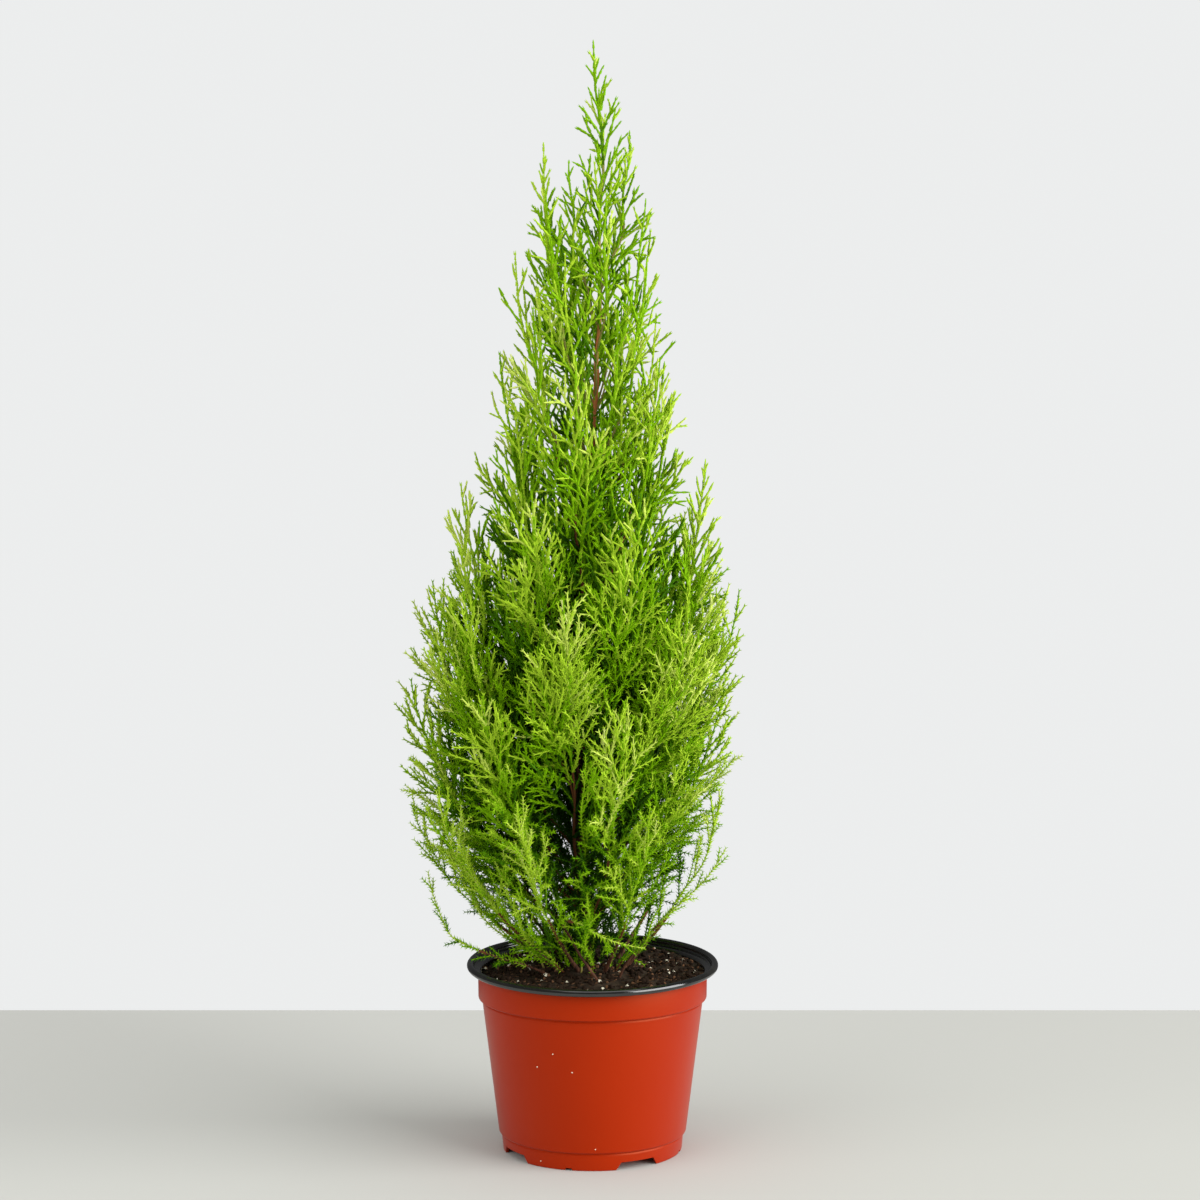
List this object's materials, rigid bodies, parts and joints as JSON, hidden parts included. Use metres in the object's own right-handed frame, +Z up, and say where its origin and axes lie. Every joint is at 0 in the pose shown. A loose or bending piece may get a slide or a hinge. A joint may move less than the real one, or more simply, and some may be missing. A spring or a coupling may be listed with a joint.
{
  "type": "potted lemon cypress",
  "caption": "Young columnar conifer with upright plumes of scale-leaved sprays round a slim trunk, standing in a round nursery pot of soil with a dark rolled rim.",
  "frame": {"origin": "on the pot's axis, on the surface that the pot stands on", "axes": "+Z up along the pot's axis, +Y away from the viewer who sees the plant's front, +X to the right"},
  "size_m": [0.2241, 0.2121, 0.7219],
  "materials": {
    "pot": "satin terracotta-red moulded plastic with faint scuffs",
    "rim": "satin black moulded plastic",
    "soil": "crumbly dark peat with pale perlite",
    "bark": "matte red-brown flaking bark",
    "foliage": "satin lemon-green scale leaves and soft needles"
  },
  "bodies": {
    "root": {"pot": "pot", "pot_rim": "rim", "soil": "soil", "trunk": "bark", "column_1": "foliage", "column_2": "foliage", "column_3": "foliage", "column_4": "foliage", "column_5": "foliage", "crest_1": "foliage", "crest_2": "foliage", "crest_3": "foliage", "crest_4": "foliage", "crest_5": "foliage", "flank_1": "foliage", "flank_2": "foliage", "flank_3": "foliage", "flank_4": "foliage", "flank_5": "foliage", "flank_6": "foliage", "front_sprig": "foliage", "front_sprig_stem": "bark", "leader": "foliage", "left_sprig": "foliage", "left_sprig_stem": "bark", "right_spire": "foliage", "right_sprig": "foliage", "right_sprig_stem": "bark", "second_leader": "foliage", "shoulder_1": "foliage", "shoulder_2": "foliage", "shoulder_3": "foliage", "shoulder_4": "foliage", "shoulder_5": "foliage", "side_leader": "foliage", "skirt_1": "foliage", "skirt_1_stem": "bark", "skirt_2": "foliage", "skirt_2_stem": "bark", "skirt_3": "foliage", "skirt_3_stem": "bark", "skirt_4": "foliage", "skirt_4_stem": "bark", "skirt_5": "foliage", "skirt_5_stem": "bark", "skirt_6": "foliage", "skirt_6_stem": "bark", "skirt_7": "foliage", "skirt_7_stem": "bark", "skirt_8": "foliage", "skirt_8_stem": "bark", "third_leader": "foliage", "waist_1": "foliage", "waist_2": "foliage", "waist_3": "foliage", "waist_4": "foliage", "waist_5": "foliage", "waist_6": "foliage"}
  },
  "joints": []
}
